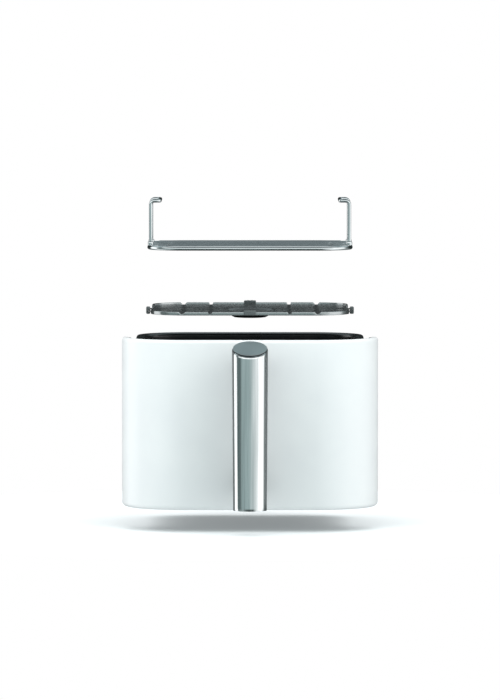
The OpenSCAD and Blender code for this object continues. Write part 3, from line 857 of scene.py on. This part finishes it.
def filled_sheet(name, outlines, z, thickness, edge=0.22 * MM):
    """A flat sheet with holes, its edges rounded, from outlines in plan."""
    curve = bpy.data.curves.new(name, "CURVE")
    curve.dimensions = "2D"
    curve.fill_mode = "BOTH"
    curve.extrude = thickness / 2 - edge
    curve.bevel_depth = edge
    curve.bevel_resolution = 1
    curve.offset = -edge
    for outline in outlines:
        spline = curve.splines.new("POLY")
        spline.points.add(len(outline) - 1)
        for point, (x, y) in zip(spline.points, outline):
            point.co = (x, y, 0, 1)
        spline.use_cyclic_u = True
    source = bpy.data.objects.new(name + "_outline", curve)
    bpy.context.scene.collection.objects.link(source)
    source.location.z = z + thickness / 2
    bpy.context.view_layer.update()
    solved = source.evaluated_get(bpy.context.evaluated_depsgraph_get())
    mesh = bpy.data.meshes.new_from_object(solved)
    mesh.transform(source.matrix_world)
    bpy.data.objects.remove(source)
    bpy.data.curves.remove(curve)
    work = bmesh.new()
    work.from_mesh(mesh)
    bmesh.ops.remove_doubles(work, verts=work.verts, dist=1e-6)
    work.to_mesh(mesh)
    work.free()
    return mesh


def ear_outline():
    """The plate's outline with an ear on each side."""
    inset = 0.3 * MM
    points = round_rect(PLATE_HALF_W - inset, PLATE_HALF_D - inset, PLATE_R - inset, 14, 40, 0)
    out = []
    for x, y in points:
        near = 1 - smooth_step(EAR_HALF - 3 * MM, EAR_HALF, abs(y))
        bulge = near * EAR_OUT if abs(x) > PLATE_HALF_W - 1 * MM else 0
        out.append((x + math.copysign(bulge, x), BASKET_Y + y))
    return out


def plate_holes():
    holes = []
    columns = int((PLATE_HALF_W - 16 * MM) / HOLE_PITCH)
    rows = int((PLATE_HALF_D - 12 * MM) / HOLE_PITCH)
    reach = math.hypot(PLATE_HALF_W, PLATE_HALF_D) - PLATE_R * 0.42 - 12 * MM
    for i in range(-columns, columns + 1):
        for j in range(-rows, rows + 1):
            x, y = i * HOLE_PITCH, j * HOLE_PITCH
            if DISH_R + 2 * HOLE_R < math.hypot(x, y) < reach:
                holes.append(ring_points(x, BASKET_Y + y, HOLE_R, 24))
    return holes


def slot_outline(side):
    middle = PLATE_HALF_W + EAR_OUT - EAR_STRIP - SLOT_W / 2
    points = round_rect(SLOT_W / 2, EAR_HALF - 3 * MM, SLOT_W / 2 - 0.05 * MM, 6, 2)
    return [(side * (middle + x), BASKET_Y + y) for x, y in points]


def make_plate_deck():
    outlines = [ear_outline(), slot_outline(-1), slot_outline(1),
                ring_points(0, BASKET_Y, DISH_R - 0.6 * MM, 72)]
    outlines += plate_holes()
    mesh = filled_sheet("plate_deck", outlines, PLATE_Z, PLATE_T)
    deck = add_object("plate_deck", mesh, sharp=40)
    # The deck takes the darker copy of the coating: dark non-stick plus painted shade.
    dress(deck, "plate", "plate_coating", SHADED_PLATE_COATING, "crisper_plate")


def lip_height(x, y):
    """The lip's height round the plate: cut down at the ears and at the paired notches."""
    full, bare = LIP_Z - PLATE_Z, PLATE_T - 0.15 * MM
    y -= BASKET_Y
    keep = 1.0
    if abs(x) > PLATE_HALF_W - 2 * MM:
        keep = smooth_step(EAR_HALF - 0.2 * MM, EAR_HALF + 1.6 * MM, abs(y))
    for place in NOTCH_PLACES:
        if abs(y) > PLATE_HALF_D - 2 * MM:
            gap = abs(abs(x) - place * 2 * PLATE_HALF_W)
            keep = min(keep, smooth_step(1.5 * MM, 2.4 * MM, gap))
    return bare + (full - bare) * keep


def make_plate_lip():
    wall = PLATE_T
    outline = [(0.5 * MM, 0.0), (0.12 * MM, 0.04), (0, 0.12), (0, 0.84), (0.12 * MM, 0.94),
               (0.45 * MM, 1.0), (wall - 0.4 * MM, 1.0), (wall - 0.1 * MM, 0.95),
               (wall, 0.86), (wall, 0.4), (wall + 1 * MM, 0.26), (wall + 1 * MM, 0.1)]
    outer = round_rect(PLATE_HALF_W, PLATE_HALF_D, PLATE_R, 26, 220, BASKET_Y)
    rings = []
    for inset, share in outline:
        ring = round_rect(PLATE_HALF_W - inset, PLATE_HALF_D - inset, PLATE_R - inset, 26, 220,
                          BASKET_Y)
        rings.append([(x, y, PLATE_Z + 0.08 * MM + share * (lip_height(ox, oy) - 0.08 * MM))
                      for (x, y), (ox, oy) in zip(ring, outer)])
    verts, faces = loft(rings, close_loop=True)
    lip = add_mesh("plate_lip", verts, faces, sharp=40)
    # The lip takes the lighter copy of the coating: a painted highlight.
    dress(lip, "plate", "plate_coating", LIT_LIP_COATING)


def make_dish():
    """The pressed dish: a soft shoulder, a sloping wall and a flat floor with drain holes."""
    soft = 3 * MM
    top = PLATE_Z + PLATE_T
    floor_z = PLATE_Z - DISH_H
    floor_top = floor_z + PLATE_T
    shoulder = [(DISH_R, top), (DISH_R - 0.8 * MM, top - 0.1 * MM),
                (DISH_R - 1.8 * MM, top - 0.6 * MM)]
    wall_in = [(DISH_FLOOR_R + soft, floor_top + 1.6 * MM),
               (DISH_FLOOR_R + 1 * MM, floor_top + 0.5 * MM), (DISH_FLOOR_R - 1.5 * MM, floor_top)]
    wall_out = [(DISH_FLOOR_R - 1.5 * MM, floor_z), (DISH_FLOOR_R + 1.2 * MM, floor_z + 0.3 * MM),
                (DISH_FLOOR_R + soft + 0.4 * MM, floor_z + 1.3 * MM)]
    under = [(DISH_R - 1.6 * MM, PLATE_Z - 0.7 * MM), (DISH_R - 0.6 * MM, PLATE_Z - 0.1 * MM),
             (DISH_R, PLATE_Z)]
    wall = lathe(shoulder + wall_in + wall_out + under, (0, BASKET_Y), 96)
    outlines = [ring_points(0, BASKET_Y, DISH_FLOOR_R - 1.45 * MM, 72)]
    for degrees in range(0, 360, DRAIN_STEP):
        a = math.radians(degrees)
        outlines.append(ring_points(DRAIN_PLACE * DISH_FLOOR_R * math.cos(a),
                                    BASKET_Y + DRAIN_PLACE * DISH_FLOOR_R * math.sin(a),
                                    DRAIN_R, 20))
    floor_mesh = filled_sheet("dish_floor", outlines, floor_z, PLATE_T)
    floor_verts = [v.co.copy() for v in floor_mesh.vertices]
    floor_faces = [tuple(p.vertices) for p in floor_mesh.polygons]
    bpy.data.meshes.remove(floor_mesh)
    dish = add_mesh("plate_dish", *joined([wall, (floor_verts, floor_faces)]), sharp=40)
    # The dish takes the darker copy of the coating: dark non-stick plus painted shade.
    dress(dish, "plate", "plate_coating", SHADED_PLATE_COATING)


def ribbed_block(low, high, along, ribs, depth, radius):
    """A soft block with shallow ribs across its outer face, rounded all over."""
    work = bmesh.new()
    bmesh.ops.create_cube(work, size=1.0)
    bmesh.ops.subdivide_edges(work, edges=work.edges[:], cuts=15, use_grid_fill=True)
    size = [high[i] - low[i] for i in range(3)]
    centre = [(high[i] + low[i]) / 2 for i in range(3)]
    for v in work.verts:
        here = [v.co[i] * size[i] for i in range(3)]
        core = [math.copysign(max(0, size[i] / 2 - radius), here[i])
                if abs(here[i]) > size[i] / 2 - radius else here[i] for i in range(3)]
        out = Vector([here[i] - core[i] for i in range(3)])
        if out.length > radius:
            out = out.normalized() * radius
        place = Vector([core[i] + out[i] for i in range(3)])
        wave = 0.5 - 0.5 * math.cos(2 * math.pi * ribs * (v.co[along] + 0.5))
        for i in range(3):
            if i != along:
                place[i] -= math.copysign(depth * wave, place[i]) * (abs(v.co[i]) > 0.49)
        v.co = place + Vector(centre)
    verts = [v.co.copy() for v in work.verts]
    faces = [tuple(v.index for v in f.verts) for f in work.faces]
    work.free()
    return verts, faces


def make_clips():
    for side, along in (("right", 1), ("left", 1), ("front", 0), ("rear", 0)):
        low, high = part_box("plate_clip_" + side)
        verts, faces = ribbed_block(low, high, along, 3, 0.25 * MM, 1.4 * MM)
        clip = add_mesh("silicone_clip_" + side, verts, faces, sharp=60)
        dress(clip, "plate", "silicone", SILICONE, "plate_clip_" + side)


make_plate_deck()
make_plate_lip()
make_dish()
make_clips()


# ---- rack ----

FRAME_R = (rack_high.z - rack_low.z) / 2
FRAME_Z = (rack_high.z + rack_low.z) / 2
RACK_CORNER = 38 * MM
RACK_HALF_W = rack_high.x - FRAME_R
RACK_HALF_D = (rack_high.y - rack_low.y) / 2 - FRAME_R
GRID_COUNT = 12
GRID_R = (grid_high.z - grid_low.z) / 2
BAIL_R = 2 * MM
BAIL_BEND = 4 * MM
POST_X = bail_high.x - BAIL_R
POST_Y = bail_high.y - BAIL_R - BASKET_Y
BAIL_BAR_X = bail_low.x + BAIL_R


def make_rack_frame():
    path = [(x, y, FRAME_Z)
            for x, y in round_rect(RACK_HALF_W, RACK_HALF_D, RACK_CORNER, 24, 8, BASKET_Y)]
    loop = add_mesh("rack_frame_wire", *tube(path, FRAME_R, 28, closed=True), sharp=50)
    dress(loop, "rack", "chrome_wire", CHROME, "rack_frame")


def frame_half(y):
    """Half the width between the frame's centre lines at a distance from its middle."""
    over = abs(y) - (RACK_HALF_D - RACK_CORNER)
    return RACK_HALF_W - (RACK_CORNER - math.sqrt(RACK_CORNER ** 2 - over ** 2) if over > 0 else 0)


def make_grid():
    """The wires welded between the sides of the frame."""
    inner = rack_high.y - rack_low.y - 4 * FRAME_R
    z = (grid_high.z + grid_low.z) / 2
    parts = []
    for i in range(1, GRID_COUNT + 1):
        y = -inner / 2 + i * inner / (GRID_COUNT + 1)
        end = frame_half(y) - FRAME_R * 0.75
        parts.append(tube([(x, BASKET_Y + y, z) for x in spread(-end, end, 6)], GRID_R, 16))
    grid = add_mesh("rack_grid", *joined(parts), sharp=50)
    dress(grid, "rack", "chrome_wire", CHROME, "rack_grid_wires")


def make_supports():
    z = (support_high.z + support_low.z) / 2
    x = support_high.x - GRID_R
    end = (rack_high.y - rack_low.y) / 2 - FRAME_R * 1.75
    parts = [tube([(s * x, BASKET_Y + y, z) for y in spread(-end, end, 6)], GRID_R, 16)
             for s in (-1, 1)]
    supports = add_mesh("rack_supports", *joined(parts), sharp=50)
    dress(supports, "rack", "chrome_wire", CHROME, "rack_support_wires")


def bail_path(side):
    """One bail from the foot of its front post over both bends to its rear post."""
    top = bail_high.z - BAIL_R
    bend = BAIL_BEND
    half = [Vector((POST_X, -POST_Y, z)) for z in spread(FRAME_Z, top - bend, 8)[:-1]]
    half += [Vector((POST_X - bend + bend * math.cos(a), -POST_Y, top - bend + bend * math.sin(a)))
             for a in spread(0, math.pi / 2, 10)]
    corner_x = BAIL_BAR_X + bend
    half += [Vector((corner_x - bend * math.sin(a), -POST_Y + bend - bend * math.cos(a), top))
             for a in spread(0, math.pi / 2, 10)]
    half += [Vector((BAIL_BAR_X, y, top)) for y in spread(-POST_Y + bend, 0, 6)[1:]]
    whole = half + [Vector((p.x, -p.y, p.z)) for p in reversed(half[:-1])]
    return [(side * p.x, BASKET_Y + p.y, p.z) for p in whole]


def make_bails():
    for side, name in ((-1, "left"), (1, "right")):
        bail = add_mesh("bail_" + name, *tube(bail_path(side), BAIL_R, 24), sharp=50)
        dress(bail, "rack", "chrome_wire", CHROME, "rack_bail_" + name)


def make_collars():
    """The weld collars round the bails' feet."""
    radius = 3.2 * MM
    high, low = collar_high.z, FRAME_Z + 0.6 * MM
    outline = [(BAIL_R - 0.2 * MM, high - 0.5 * MM), (BAIL_R + 0.35 * MM, high),
               (BAIL_R + 0.8 * MM, high - 0.25 * MM), (radius, high - 1 * MM),
               (radius, high - 2.8 * MM), (radius - 0.05 * MM, low + 0.8 * MM),
               (radius - 0.5 * MM, low), (BAIL_R - 0.2 * MM, low)]
    parts = [lathe(outline, (sx * POST_X, BASKET_Y + sy * POST_Y), 28) for sx, sy in CORNERS]
    collars = add_mesh("bail_feet_collars", *joined(parts), sharp=50)
    dress(collars, "rack", "chrome_wire", CHROME, "bail_collars")


make_rack_frame()
make_grid()
make_supports()
make_bails()
make_collars()


# ---- carried-over CAD pieces ----

def carry_over(node, material, width):
    """A CAD node keeps its shape and gets its finish and fine edge rounding."""
    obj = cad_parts[node]
    obj.data.materials.clear()
    obj.data.materials.append(material)
    obj.data.shade_smooth()
    obj.data.set_sharp_from_angle(angle=math.radians(30))
    bevel = obj.modifiers.new("edges", "BEVEL")
    bevel.width = width
    bevel.segments = 2
    bevel.limit_method = "ANGLE"
    bevel.angle_limit = math.radians(40)


for node_name, node_slot, node_finish, node_edge in (
    ("front_inner_cover", "inner_plastic", INNER, 0.4 * MM),
    ("front_screws", "fastener_steel", FASTENER, 0.3 * MM),
    ("switch_tab", "black_plastic", BLACK, 0.6 * MM),
    ("heat_shield", "bracket_steel", SHEET_STEEL, 0.15 * MM),
    ("basket_bracket", "bracket_steel", SHEET_STEEL, 0.3 * MM),
    ("bracket_rivets", "fastener_steel", FASTENER, 0.5 * MM),
    ("handle_screws", "fastener_steel", FASTENER, 0.4 * MM),
):
    carry_over(node_name, node_finish, node_edge)
